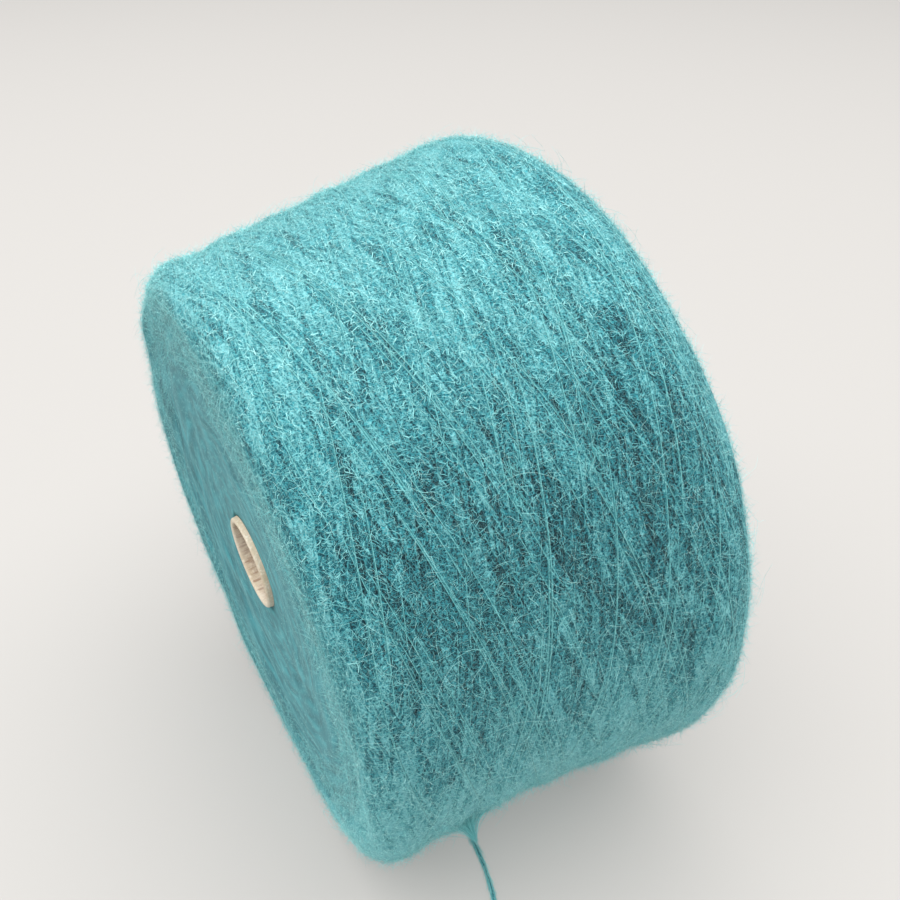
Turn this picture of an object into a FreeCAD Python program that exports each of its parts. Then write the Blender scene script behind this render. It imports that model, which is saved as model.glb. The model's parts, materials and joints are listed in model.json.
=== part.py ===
"""A package of brushed yarn, cross-wound on a paper cone and lying on its side.

The cone is rolled from two layers of paper: a thick board and a thin pale cover that turns in over the
nose. The yarn is wound on it in one piece, with both ends dished and both lips rounded, and its flank is
as steep as the cone. The free end of the yarn lies on the table beside the package.

Frame: +X along the table from the nose to the base, +Z up, origin on the table under the middle of the
package's box. Lengths are in millimetres and angles in degrees.
"""

import FreeCAD, Part
import math
import os

import Sketcher

doc = FreeCAD.newDocument("yarn_cone")

# Driving sizes. Distances along the cone's own axis are counted from the near corner of the wound yarn.
SIZES = [
    ("half_angle", 5.95, "half angle of the paper cone and of the wound flank"),
    ("wound_length", 121.0, "length of the wound yarn along the axis, from corner to corner"),
    ("near_radius", 99.2, "radius of the near corner, before it is rounded"),
    ("waist", 2.2, "how far the flank draws in between the lips"),
    ("near_round", 13.5, "rounding of the near lip"),
    ("far_round", 18.5, "rounding of the far lip"),
    ("near_dish", 3.0, "depth of the near end at the paper cone"),
    ("far_dish", 4.0, "depth of the far end at the paper cone"),
    ("press_depth", 3.2, "how deep the table presses into the line across both lips"),
    ("bore_radius", 13.5, "radius of the hole in the nose"),
    ("nose_land", 5.0, "length of the straight hole in the nose, where the cover turns in"),
    ("nose_round", 0.8, "rounding of the turned-in rim"),
    ("nose_set", 2.2, "distance from the near corner's plane to the rim of the nose"),
    ("cone_length", 146.0, "length of the paper cone along its axis"),
    ("board_wall", 1.5, "thickness of the board"),
    ("cover_wall", 0.5, "thickness of the cover"),
    ("yarn_gap", 0.1, "clearance between the cover and the first turns of yarn"),
    ("tail_diameter", 1.2, "thickness of the yarn's free end, with its close fibres"),
]

sheet = doc.addObject("Spreadsheet::Sheet", "Size")
for row, (alias, number, meaning) in enumerate(SIZES, start=1):
    sheet.set(f"A{row}", meaning)
    sheet.set(f"B{row}", str(number))
    sheet.setAlias(f"B{row}", alias)
doc.recompute()

# Sizes that follow from the driving ones, as expressions over the sheet.
SLOPE = "tan(Size.half_angle)"
WALL = "(Size.board_wall + Size.cover_wall)"
NOSE_RADIUS = f"(Size.bore_radius + {WALL})"
BASE_PLACE = "(Size.nose_set + Size.cone_length)"
BASE_RADIUS = f"({NOSE_RADIUS} + Size.cone_length * {SLOPE})"
FAR_RADIUS = f"(Size.near_radius + Size.wound_length * {SLOPE})"
FLANK_CHORD = "(Size.wound_length / cos(Size.half_angle))"
FLANK_BOW = f"(({FLANK_CHORD} * {FLANK_CHORD} / 4 + Size.waist * Size.waist) / (2 * Size.waist))"

# The tilted axis starts at the centre of the near end, this far along the table and above it.
LIP_CENTRE = "(Size.near_radius - Size.near_round * (1 - sin(Size.half_angle)) / cos(Size.half_angle))"
NEAR_REACH = (
    f"(Size.near_round * (1 - cos(Size.half_angle)) + {LIP_CENTRE} * sin(Size.half_angle))"
)
FAR_REACH = f"({BASE_PLACE} * cos(Size.half_angle) + {BASE_RADIUS} * sin(Size.half_angle))"
AXIS_START = f"(({NEAR_REACH} - {FAR_REACH}) / 2)"
AXIS_HEIGHT = "(Size.near_radius * cos(Size.half_angle) - Size.press_depth)"


def value(expression):
    """The number that an expression over the sheet gives."""
    answer = sheet.evalExpression(expression)
    return float(getattr(answer, "Value", answer))


def cone_surface(place, inset="0"):
    """Radius of the paper cone's outside at a place on its axis, less an inset."""
    return f"({NOSE_RADIUS} + ({place} - Size.nose_set) * {SLOPE} - ({inset}))"


def lay_down(item):
    """Tilt a piece made along the X axis so that its lower flank lies along the table."""
    item.Placement = FreeCAD.Placement(FreeCAD.Vector(), FreeCAD.Rotation(FreeCAD.Vector(0, -1, 0), 1))
    item.setExpression("Placement.Base.x", AXIS_START)
    item.setExpression("Placement.Base.z", AXIS_HEIGHT)
    item.setExpression("Placement.Rotation.Angle", "Size.half_angle * 1 deg")


def turned_body(label, corners, bow=None):
    """A body turned about the axis from an outline of (place, radius) corners.

    With a bow, the outline's first side is an arc of that radius, drawn in towards the axis.
    """
    body = doc.addObject("PartDesign::Body", label)
    body.Label = label
    outline = body.newObject("Sketcher::SketchObject", f"{label}_outline")
    plane = next(item for item in body.Origin.OriginFeatures if item.Role == "XY_Plane")
    outline.AttachmentSupport = [(plane, "")]
    outline.MapMode = "FlatFace"

    spots = [FreeCAD.Vector(value(place), value(radius), 0) for place, radius in corners]
    for number, start in enumerate(spots):
        end = spots[(number + 1) % len(spots)]
        if bow and number == 0:
            half = (end - start) * 0.5
            inward = FreeCAD.Vector(half.y, -half.x, 0).normalize()
            sag = value(bow) - math.sqrt(value(bow) ** 2 - half.Length**2)
            outline.addGeometry(Part.Arc(start, start + half + inward * sag, end), False)
        else:
            outline.addGeometry(Part.LineSegment(start, end), False)

    for number in range(len(corners)):
        following = (number + 1) % len(corners)
        outline.addConstraint(Sketcher.Constraint("Coincident", number, 2, following, 1))
    for number, (place, radius) in enumerate(corners):
        if place == "0":
            outline.addConstraint(Sketcher.Constraint("PointOnObject", number, 1, -2))
        else:
            side = Sketcher.Constraint("DistanceX", -1, 1, number, 1, spots[number].x)
            index = outline.addConstraint(side)
            outline.setExpression(f"Constraints[{index}]", place)
        up = Sketcher.Constraint("DistanceY", -1, 1, number, 1, spots[number].y)
        index = outline.addConstraint(up)
        outline.setExpression(f"Constraints[{index}]", radius)
    if bow:
        index = outline.addConstraint(Sketcher.Constraint("Radius", 0, value(bow)))
        outline.setExpression(f"Constraints[{index}]", bow)

    turned = body.newObject("PartDesign::Revolution", f"{label}_turned")
    turned.Profile = outline
    turned.ReferenceAxis = (outline, ["H_Axis"])
    turned.Angle = 360
    doc.recompute()
    return body, turned


def round_rims(body, base, rims, radius):
    """Round the circular edges at the given (place, radius) pairs of a turned body."""
    names = []
    for place, rim_radius in rims:
        for number, edge in enumerate(base.Shape.Edges, start=1):
            round_edge = isinstance(edge.Curve, Part.Circle)
            if not round_edge or abs(edge.Curve.Radius - value(rim_radius)) > 1e-4:
                continue
            if abs(edge.Curve.Center.x - value(place)) < 1e-4:
                names.append(f"Edge{number}")
    if len(names) != len(rims):
        raise RuntimeError(f"{body.Label}: {len(names)} rims found, {len(rims)} wanted")
    rounding = body.newObject("PartDesign::Fillet", f"{base.Name}_rounded")
    rounding.Base = (base, names)
    rounding.setExpression("Radius", radius)
    doc.recompute()
    return rounding


def cone_board():
    """The rolled board of the cone, with its inner wall straight along the nose land."""
    front = "(Size.nose_set + Size.cover_wall)"
    land_radius = "(Size.bore_radius + Size.cover_wall)"
    corners = [
        (front, land_radius),
        (front, cone_surface(front, "Size.cover_wall")),
        (BASE_PLACE, cone_surface(BASE_PLACE, "Size.cover_wall")),
        (BASE_PLACE, cone_surface(BASE_PLACE, WALL)),
        ("(Size.nose_set + Size.nose_land)", land_radius),
    ]
    body, _ = turned_body("cone_board", corners)
    lay_down(body)
    return body


def cone_cover():
    """The thin cover glued over the board, turned in round the nose as far as the land goes."""
    front = "Size.nose_set"
    behind_front = "(Size.nose_set + Size.cover_wall)"
    land_end = "(Size.nose_set + Size.nose_land)"
    land_outside = "(Size.bore_radius + Size.cover_wall)"
    corners = [
        (front, "Size.bore_radius"),
        (front, cone_surface(front)),
        (BASE_PLACE, cone_surface(BASE_PLACE)),
        (BASE_PLACE, cone_surface(BASE_PLACE, "Size.cover_wall")),
        (behind_front, cone_surface(behind_front, "Size.cover_wall")),
        (behind_front, land_outside),
        (land_end, land_outside),
        (land_end, "Size.bore_radius"),
    ]
    body, turned = turned_body("cone_cover", corners)
    rims = [(front, "Size.bore_radius"), (front, NOSE_RADIUS)]
    round_rims(body, turned, rims, "Size.nose_round")
    lay_down(body)
    return body


def yarn_package():
    """The wound yarn, a clearance off the cover and pressed flat where it lies on the table."""
    far_inner = "(Size.wound_length - Size.far_dish)"
    corners = [
        ("0", "Size.near_radius"),
        ("Size.wound_length", FAR_RADIUS),
        (far_inner, cone_surface(far_inner, "-Size.yarn_gap")),
        ("Size.near_dish", cone_surface("Size.near_dish", "-Size.yarn_gap")),
    ]
    body, turned = turned_body("wound_yarn", corners, bow=FLANK_BOW)
    near_lip = round_rims(body, turned, [("0", "Size.near_radius")], "Size.near_round")
    round_rims(body, near_lip, [("Size.wound_length", FAR_RADIUS)], "Size.far_round")
    lay_down(body)

    table = doc.addObject("Part::Box", "table_block")
    table.setExpression("Length", f"4 * {FAR_RADIUS}")
    table.setExpression("Width", f"4 * {FAR_RADIUS}")
    table.setExpression("Height", FAR_RADIUS)
    table.setExpression("Placement.Base.x", f"-2 * {FAR_RADIUS}")
    table.setExpression("Placement.Base.y", f"-2 * {FAR_RADIUS}")
    table.setExpression("Placement.Base.z", f"-1 * {FAR_RADIUS}")

    pressed = doc.addObject("Part::Cut", "yarn_package")
    pressed.Label = "yarn_package"
    pressed.Base = body
    pressed.Tool = table
    doc.recompute()
    return pressed


# The free end comes from under the package, runs out over the table and curls back at its cut end.
TAIL_ROUTE = [
    (-15.2, -23.5),
    (-17.1, -35.5),
    (-19.0, -49.5),
    (-21.6, -63.5),
    (-23.6, -77.0),
    (-27.3, -90.0),
    (-35.0, -100.5),
    (-47.5, -105.0),
    (-60.5, -103.5),
    (-70.5, -96.0),
    (-73.5, -84.5),
    (-70.5, -77.5),
]


def yarn_tail():
    """The free end: straight runs joined by tangent arcs, lying on the table."""
    radius = value("Size.tail_diameter") / 2
    points = [FreeCAD.Vector(x, y, radius) for x, y in TAIL_ROUTE]
    runs = [second - first for first, second in zip(points, points[1:])]
    edges = []
    start = points[0]
    for number in range(1, len(points) - 1):
        coming, going = runs[number - 1], runs[number]
        turn = coming.getAngle(going)
        reach = 0.45 * min(coming.Length, going.Length)
        bend = reach / math.tan(turn / 2)
        print(f"yarn_tail: bend {number} has a radius of {bend:.1f} mm")
        entry = points[number] - FreeCAD.Vector(coming).normalize() * reach
        leave = points[number] + FreeCAD.Vector(going).normalize() * reach
        inward = (FreeCAD.Vector(going).normalize() - FreeCAD.Vector(coming).normalize()).normalize()
        middle = points[number] + inward * (bend / math.cos(turn / 2) - bend)
        edges.append(Part.LineSegment(start, entry).toShape())
        edges.append(Part.Arc(entry, middle, leave).toShape())
        start = leave
    edges.append(Part.LineSegment(start, points[-1]).toShape())
    path = Part.Wire(edges)
    section = Part.Wire(Part.Circle(points[0], runs[0], radius).toShape())
    tube = path.makePipeShell([section], True, False)
    expected = math.pi * radius**2 * path.Length
    print(f"yarn_tail: {path.Length:.1f} mm long, volume {tube.Volume:.2f} of {expected:.2f} mm3")
    if abs(tube.Volume / expected - 1) > 0.01:
        raise RuntimeError("yarn_tail: the tube's volume isn't its section times its length")
    tail = doc.addObject("Part::Feature", "yarn_tail")
    tail.Label = "yarn_tail"
    tail.Shape = tube
    tail.Placement = FreeCAD.Placement()
    return tail


sub_parts = [cone_board(), cone_cover(), yarn_package(), yarn_tail()]
doc.recompute()

for item in doc.Objects:
    if "Invalid" in item.State or "Error" in item.State:
        raise RuntimeError(f"{item.Label} didn't compute: {item.State}")
for item in sub_parts:
    if item.Shape.isNull() or not item.Shape.isValid() or not item.Shape.Solids:
        raise RuntimeError(f"{item.Label} has no valid solid")

os.makedirs("parts", exist_ok=True)
for item in sub_parts:
    item.Shape.exportStep(f"parts/{item.Label}.step")
    box = item.Shape.optimalBoundingBox(False)
    print(f"{item.Label}: {len(item.Shape.Solids)} solid, volume {item.Shape.Volume:.0f} mm3")
    print(f"    x {box.XMin:.2f} to {box.XMax:.2f}, y {box.YMin:.2f} to {box.YMax:.2f},", end=" ")
    print(f"z {box.ZMin:.2f} to {box.ZMax:.2f}")
print(f"axis starts at x {value(AXIS_START):.2f}, z {value(AXIS_HEIGHT):.2f}")
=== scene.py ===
"""A package of brushed teal yarn on a paper cone, lying on its side with its free end loose.

The pieces come in the order in which the real package is made: the paper cone, the wound yarn, its outermost
turns, the fibres that brushing has raised, and the free end. The table, the lights and the camera are last.
Lengths are in metres.
"""

import bpy
import json
import math
import numpy as np
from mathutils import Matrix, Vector

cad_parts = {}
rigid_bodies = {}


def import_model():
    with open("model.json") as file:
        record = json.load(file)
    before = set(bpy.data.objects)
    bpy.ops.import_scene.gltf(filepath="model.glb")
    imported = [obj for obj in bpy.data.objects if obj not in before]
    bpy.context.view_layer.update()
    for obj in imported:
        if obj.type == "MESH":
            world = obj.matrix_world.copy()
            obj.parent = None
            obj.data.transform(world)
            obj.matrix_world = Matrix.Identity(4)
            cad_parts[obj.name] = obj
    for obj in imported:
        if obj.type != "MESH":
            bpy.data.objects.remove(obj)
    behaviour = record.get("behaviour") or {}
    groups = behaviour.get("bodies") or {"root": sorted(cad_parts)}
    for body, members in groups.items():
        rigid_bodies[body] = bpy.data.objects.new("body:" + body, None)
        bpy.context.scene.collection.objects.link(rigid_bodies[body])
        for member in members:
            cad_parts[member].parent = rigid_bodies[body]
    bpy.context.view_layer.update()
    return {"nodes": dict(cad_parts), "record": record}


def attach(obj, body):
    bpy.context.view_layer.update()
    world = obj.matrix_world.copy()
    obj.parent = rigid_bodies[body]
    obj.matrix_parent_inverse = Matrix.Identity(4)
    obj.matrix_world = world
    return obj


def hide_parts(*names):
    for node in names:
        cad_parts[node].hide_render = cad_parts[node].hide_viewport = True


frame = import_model()

# ---------------------------------------------------------------------------------------------------------
# Paper cone. A thick kraft board is rolled and glued into a taper, and a thin pale paper is wrapped over it
# and turned in round the nose. Both CAD pieces keep their shape: only their paper shows here.

PULP_CLOUD, PULP_FLECK, PULP_FIBRE = 0.0100, 0.0009, 0.0004
PULP_RELIEF = 0.00015
GLUE_STAIN = 0.6
TORN_REACH, TORN_DRAW = 0.0085, 0.85
TORN_EDGE, BORE_EDGE = (-0.0012, 0.0004), (0.00045, 0.00015)
NOSE_BORE_PLACE = 0.0051
NOSE_PLACE, NOSE_RADIUS, BORE_RADIUS = 0.0022, 0.0155, 0.0135

mounts = {mount["name"]: mount for mount in frame["record"]["mounts"]}
axis = Vector(mounts["nose_bore"]["axis"]).normalized()
near_centre = Vector(mounts["nose_bore"]["pos_m"]) - axis * NOSE_BORE_PLACE


def linear(code):
    """An sRGB colour, such as 4DA4A8, as a linear colour with alpha."""
    parts = [int(code[place:place + 2], 16) / 255 for place in (0, 2, 4)]
    return [((part + 0.055) / 1.055) ** 2.4 if part > 0.04045 else part / 12.92 for part in parts] + [1.0]


def add(tree, kind, inputs, stops=(), **settings):
    """Adds a shader node, sets its properties and a ramp's stops, and sets or links its inputs."""
    made = tree.nodes.new("ShaderNode" + kind)
    for name, setting in settings.items():
        setattr(made, name, setting)
    for number, (position, tone) in enumerate(stops):
        elements = made.color_ramp.elements
        stop = elements[number] if number < 2 else elements.new(position)
        stop.position = position
        stop.color = linear(tone) if isinstance(tone, str) else (tone, tone, tone, 1.0)
    for name, source in inputs.items():
        if isinstance(source, bpy.types.NodeSocket):
            tree.links.new(source, made.inputs[name])
        else:
            made.inputs[name].default_value = source
    return made.outputs


def new_material(name):
    """An empty node material, and its tree."""
    material = bpy.data.materials.new(name)
    material.use_nodes = True
    material.node_tree.nodes.clear()
    return material, material.node_tree


def finish_material(tree, colour, roughness, height=None, depth=0.0, **constants):
    """Ends a material in a principled shader. Constants go straight onto the shader's own sockets."""
    inputs = {"Base Color": colour, "Roughness": roughness}
    inputs.update({name.replace("_", " "): value for name, value in constants.items()})
    if height is not None:
        inputs["Normal"] = add(tree, "Bump", {"Height": height, "Distance": depth})["Normal"]
    shader = add(tree, "BsdfPrincipled", inputs)
    add(tree, "OutputMaterial", {"Surface": shader["BSDF"]})


def paper(name, main, shade, fibre, glue):
    """Uncoated paper: matt, clouded pulp with short flat fibres. Inside the nose it is torn and brown."""
    material, tree = new_material(name)
    solid = add(tree, "TexCoord", {})["Object"]
    from_end = add(tree, "VectorMath", {0: solid, 1: near_centre}, operation="SUBTRACT")["Vector"]
    depth = add(tree, "VectorMath", {0: from_end, 1: axis}, operation="DOT_PRODUCT")["Value"]
    around = add(tree, "VectorMath", {0: from_end, 1: axis}, operation="CROSS_PRODUCT")["Vector"]
    radius = add(tree, "VectorMath", {0: around}, operation="LENGTH")["Value"]
    shrunk = add(tree, "Math", {0: depth, 1: -TORN_DRAW}, operation="MULTIPLY")["Value"]
    along = add(tree, "VectorMath", {0: axis, "Scale": shrunk}, operation="SCALE")["Vector"]
    drawn = add(tree, "VectorMath", {0: from_end, 1: along}, operation="ADD")["Vector"]

    cloud = add(tree, "TexNoise", {"Vector": solid, "Scale": 1 / PULP_CLOUD, "Detail": 4.0})["Fac"]
    fleck = add(tree, "TexNoise", {"Vector": solid, "Scale": 1 / PULP_FLECK, "Detail": 6.0})["Fac"]
    grain = add(tree, "TexVoronoi", {"Vector": solid, "Scale": 1 / PULP_FIBRE})["Distance"]
    streak = add(tree, "TexNoise", {"Vector": drawn, "Scale": 1 / PULP_FLECK, "Detail": 3.0})["Fac"]

    clouded = add(tree, "ValToRGB", {"Fac": cloud}, [(0.35, shade), (0.60, main)])["Color"]
    flecks = add(tree, "ValToRGB", {"Fac": fleck}, [(0.52, 0.0), (0.72, 0.8)])["Color"]
    flecked = add(tree, "MixRGB", {"Fac": flecks, "Color1": clouded, "Color2": linear(fibre)})["Color"]

    ragged = add(tree, "Math", {0: streak, 1: -TORN_REACH, 2: depth}, operation="MULTIPLY_ADD")["Value"]
    torn_edge = {"Value": ragged, "From Min": TORN_EDGE[0], "From Max": TORN_EDGE[1]}
    torn = add(tree, "MapRange", torn_edge)["Result"]
    start, end = BORE_RADIUS + BORE_EDGE[0], BORE_RADIUS + BORE_EDGE[1]
    inside = add(tree, "MapRange", {"Value": radius, "From Min": start, "From Max": end})["Result"]
    glued = add(tree, "Math", {0: torn, 1: inside}, operation="MULTIPLY")["Value"]
    glued = add(tree, "Math", {0: glued, 1: GLUE_STAIN}, operation="MULTIPLY")["Value"]
    stained = add(tree, "ValToRGB", {"Fac": streak}, [(0.35, glue), (0.62, main)])["Color"]
    tint = add(tree, "MixRGB", {"Fac": glued, "Color1": flecked, "Color2": stained})["Color"]

    rough = add(tree, "MapRange", {"Value": fleck, "To Min": 0.82, "To Max": 0.96})["Result"]
    rise = add(tree, "Math", {0: fleck, 1: grain}, operation="ADD")["Value"]
    rise = add(tree, "Math", {0: streak, 1: glued, 2: rise}, operation="MULTIPLY_ADD")["Value"]
    finish_material(tree, tint, rough, rise, PULP_RELIEF, Specular_IOR_Level=0.25)
    return material


for node, material in (
    ("cone_board", paper("Kraft board", "A98462", "8A6848", "C9A884", "7A5A3E")),
    ("cone_cover", paper("Cone cover paper", "E2D6C3", "CDBDA3", "F2EBDD", "8E6248")),
):
    frame["nodes"][node].data.materials.clear()
    frame["nodes"][node].data.materials.append(material)

# ---------------------------------------------------------------------------------------------------------
# Wound yarn. One length of brushed, mohair-type yarn is laid on the cone in crossing turns, from lip to lip
# and back. It is soft: the flank draws in between the lips, the lips are round, and the table flattens it.

NEAR_RADIUS, FAR_RADIUS = 0.1000, 0.1091
WOUND_LENGTH = 0.1209
WAIST = 0.0016
NEAR_LIP = (0.0145, 0.0103)
FAR_LIP = (0.0171, 0.0195)
LIP_FULLNESS = 2.3
NEAR_DISH, FAR_DISH = 0.0040, 0.0040
NEAR_BOWL, FAR_BOWL = 1.5, 2
OUTLINE_STEPS, FLANK_STEPS = 40, 80
CONE_GAP = 0.0003
TABLE_GAP = 0.0001
LIP_BLEND = 0.020
MEAN_RADIUS = 0.104
YARN_ANGLE = math.radians(13.0)

# Where handling has pushed the soft package out of round. Each is a distance along the outline, a turn in
# degrees, how far it reaches along the outline and round in degrees, and how far it stands out.
DENTS = (
    (0.088, 54, 0.034, 38, -0.0040),
    (0.145, 212, 0.040, 32, -0.0012),
    (0.186, 206, 0.020, 30, -0.0008),
    (0.190, 118, 0.025, 25, -0.0007),
    (0.084, 218, 0.014, 20, 0.0024),
    (0.106, 211, 0.005, 3.0, 0.0014),
)

across = Vector((0.0, 1.0, 0.0))
LAY = np.array([axis, across, axis.cross(across)])
CONE_SLOPE = math.tan(math.asin(axis.z))


def cone_outside(place):
    """Radius of the paper cone's outside at a place along its axis."""
    return NOSE_RADIUS + (place - NOSE_PLACE) * CONE_SLOPE


def lip_curve(reach, drop, count):
    """A quarter of a full, rounded corner: distance from the end plane, and radius above the lip's start."""
    angle = np.linspace(0.0, math.pi / 2, count)
    power = 2.0 / LIP_FULLNESS
    return reach * (1 - np.cos(angle) ** power), drop * np.sin(angle) ** power


def wound_outline():
    """Places and radii round the wound yarn's section, and the distance along it where each part ends."""
    rim = np.linspace(0.0, 1.0, OUTLINE_STEPS)
    near_rim, far_rim = NEAR_RADIUS - NEAR_LIP[1], FAR_RADIUS - FAR_LIP[1]
    near_inner = cone_outside(NEAR_DISH) + CONE_GAP
    far_inner = cone_outside(WOUND_LENGTH - FAR_DISH) + CONE_GAP
    near_face = (NEAR_DISH * (1 - rim**NEAR_BOWL), near_inner + (near_rim - near_inner) * rim)
    far_face = (WOUND_LENGTH - FAR_DISH * rim**FAR_BOWL, far_rim + (far_inner - far_rim) * rim)
    near_lip = lip_curve(*NEAR_LIP, OUTLINE_STEPS)
    far_lip = lip_curve(*FAR_LIP, OUTLINE_STEPS)
    flank = np.linspace(0.0, 1.0, FLANK_STEPS)
    flank_length = WOUND_LENGTH - NEAR_LIP[0] - FAR_LIP[0]
    bow = NEAR_RADIUS + (FAR_RADIUS - NEAR_RADIUS) * flank - WAIST * np.sin(math.pi * flank)
    parts = [
        near_face,
        (near_lip[0], near_rim + near_lip[1]),
        (NEAR_LIP[0] + flank_length * flank, bow),
        (WOUND_LENGTH - far_lip[0][::-1], far_rim + far_lip[1][::-1]),
        far_face,
    ]
    places = np.concatenate([part[0][1:] if number else part[0] for number, part in enumerate(parts)])
    radii = np.concatenate([part[1][1:] if number else part[1] for number, part in enumerate(parts)])
    ends = np.cumsum([len(part[0]) - (1 if number else 0) for number, part in enumerate(parts)]) - 1
    run = np.concatenate([[0.0], np.cumsum(np.hypot(np.diff(places), np.diff(radii)))])
    return places, radii, run, run[ends]


PLACES, RADII, RUN, PART_ENDS = wound_outline()
NEAR_RIM, NEAR_CREST, FAR_CREST, FAR_RIM, OUTLINE_LENGTH = PART_ENDS
slope = np.stack([np.gradient(PLACES, RUN), np.gradient(RADII, RUN)])
slope /= np.linalg.norm(slope, axis=0)

# Painted shade darkens the flank along one side, and painted light makes the underside paler. Turns
# and widths are in degrees.
SHADED_TURN, SHADED_WIDTH, SHADED_DEPTH = 155.0, 28.0, 1.0
SHADED_FADE, SHADED_FAR_GAP = 0.025, 0.010
LIT_UNDERSIDE_TURN, LIT_UNDERSIDE_WIDTH, LIT_UNDERSIDE = 228.0, 38.0, 1.20

SWELLS = 18
SWELL_DEPTH = 0.00010
SWELL_FADE = 0.035
swell_dice = np.random.default_rng(7)
swell_length = swell_dice.uniform(0.009, 0.040, SWELLS)
swell_tilt = swell_dice.choice([-1.0, 1.0], SWELLS) * YARN_ANGLE * swell_dice.uniform(0.5, 2.2, SWELLS)
swell_along = 2 * math.pi / swell_length * np.cos(swell_tilt)
swell_round = np.round(2 * math.pi / swell_length * np.sin(swell_tilt) * MEAN_RADIUS)
swell_start = swell_dice.uniform(0, 2 * math.pi, SWELLS)


def swell(run, turn):
    """How far the soft surface stands out: low ridges along the crossing turns, and the dents."""
    height = np.zeros(np.broadcast(run, turn).shape)
    for along, around, start in zip(swell_along, swell_round, swell_start):
        height += SWELL_DEPTH * np.sin(run * along + turn * around + start)
    for place, degrees, reach, width, depth in DENTS:
        off = np.degrees(np.arccos(np.cos(turn - math.radians(degrees))))
        height += depth * np.exp(-(((run - place) / reach) ** 2) - (off / width) ** 2)
    return height * np.clip(np.minimum(run, OUTLINE_LENGTH - run) / SWELL_FADE, 0, 1)


def package_point(run, turn, lift):
    """Points in the object's frame: distance along the outline, turn about the axis, lift off the yarn."""
    place, radius = np.interp(run, RUN, PLACES), np.interp(run, RUN, RADII)
    along, outward = np.interp(run, RUN, slope[0]), np.interp(run, RUN, slope[1])
    rise = swell(run, turn) + lift
    place, radius = place - outward * rise, radius + along * rise
    local = np.stack([place, radius * np.cos(turn), radius * np.sin(turn)], axis=-1)
    points = local @ LAY + np.array(near_centre)
    points[..., 2] = np.maximum(points[..., 2], TABLE_GAP)
    return points


def package_normal(run, turn):
    """The outward direction of the wound yarn's surface."""
    along, outward = np.interp(run, RUN, slope[0]), np.interp(run, RUN, slope[1])
    local = np.stack([-outward, along * np.cos(turn), along * np.sin(turn)], axis=-1)
    return local @ LAY


def flank_share(run):
    """1 on the flank and over the lips, falling to 0 on the two end faces."""
    near = np.clip((run - NEAR_RIM + LIP_BLEND / 2) / LIP_BLEND, 0, 1)
    far = np.clip((FAR_RIM + LIP_BLEND / 2 - run) / LIP_BLEND, 0, 1)
    return near * near * (3 - 2 * near) * far * far * (3 - 2 * far)


def painted_light(run, turn):
    """Painted light and shade: 1 as lit, 0 where shade is painted, over 1 where light is painted."""

    def around(degrees, width):
        off = np.degrees(np.arccos(np.cos(turn - math.radians(degrees))))
        return np.exp(-((off / width) ** 2))

    # The painted shade fades in from the lips; full is the level of painted light and shade.
    from_lips = np.minimum(run - NEAR_RIM, FAR_RIM - run - SHADED_FAR_GAP) / SHADED_FADE
    painted_shade = SHADED_DEPTH * np.clip(from_lips, 0, 1)
    full = 1 - painted_shade * around(SHADED_TURN, SHADED_WIDTH) + LIT_UNDERSIDE * around(LIT_UNDERSIDE_TURN, LIT_UNDERSIDE_WIDTH)
    return 1 + (full - 1) * flank_share(run)


def clear_selection():
    """Deselects everything, as the loaded CAD pieces start selected."""
    for item in bpy.context.scene.objects:
        item.select_set(False)


SIDES = 400
FACE_RINGS, NEAR_LIP_RINGS, FLANK_RINGS, FAR_LIP_RINGS = 36, 16, 64, 22
BORE_RINGS = 6
ring_runs = np.concatenate(
    [
        np.linspace(0.0, NEAR_RIM, FACE_RINGS)[:-1],
        np.linspace(NEAR_RIM, NEAR_CREST, NEAR_LIP_RINGS)[:-1],
        np.linspace(NEAR_CREST, FAR_CREST, FLANK_RINGS)[:-1],
        np.linspace(FAR_CREST, FAR_RIM, FAR_LIP_RINGS)[:-1],
        np.linspace(FAR_RIM, OUTLINE_LENGTH, FACE_RINGS),
    ]
)
rings = len(ring_runs) + BORE_RINGS
clear_selection()
bpy.ops.mesh.primitive_grid_add(x_subdivisions=rings, y_subdivisions=SIDES, size=1.0)
wound = bpy.context.object
wound.name = "wound_yarn"
corners = np.empty(len(wound.data.vertices) * 3)
wound.data.vertices.foreach_get("co", corners)
corners = corners.reshape(-1, 3)
ring = np.rint((corners[:, 0] + 0.5) * rings).astype(int) % rings
turn = (corners[:, 1] + 0.5) * 2 * math.pi - math.pi / 2
on_yarn = ring < len(ring_runs)
run = ring_runs[np.minimum(ring, len(ring_runs) - 1)]
back = (ring - len(ring_runs) + 1) / (BORE_RINGS + 1)
bore_place = (WOUND_LENGTH - FAR_DISH) * (1 - back) + NEAR_DISH * back
bore_radius = cone_outside(bore_place) + CONE_GAP
bore = np.stack([bore_place, bore_radius * np.cos(turn), bore_radius * np.sin(turn)], axis=-1)
points = np.where(on_yarn[:, None], package_point(run, turn, 0.0), bore @ LAY + np.array(near_centre))
wound.data.vertices.foreach_set("co", points.ravel())
share = wound.data.attributes.new("flank", "FLOAT", "POINT")
share.data.foreach_set("value", (flank_share(run) * on_yarn).astype(np.float32))
# This attribute holds the painted light and shade, less 1.
painted_light_offset = wound.data.attributes.new("painted_light", "FLOAT", "POINT")
painted_light_offset.data.foreach_set("value", (painted_light(run, turn) - 1).astype(np.float32))

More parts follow.
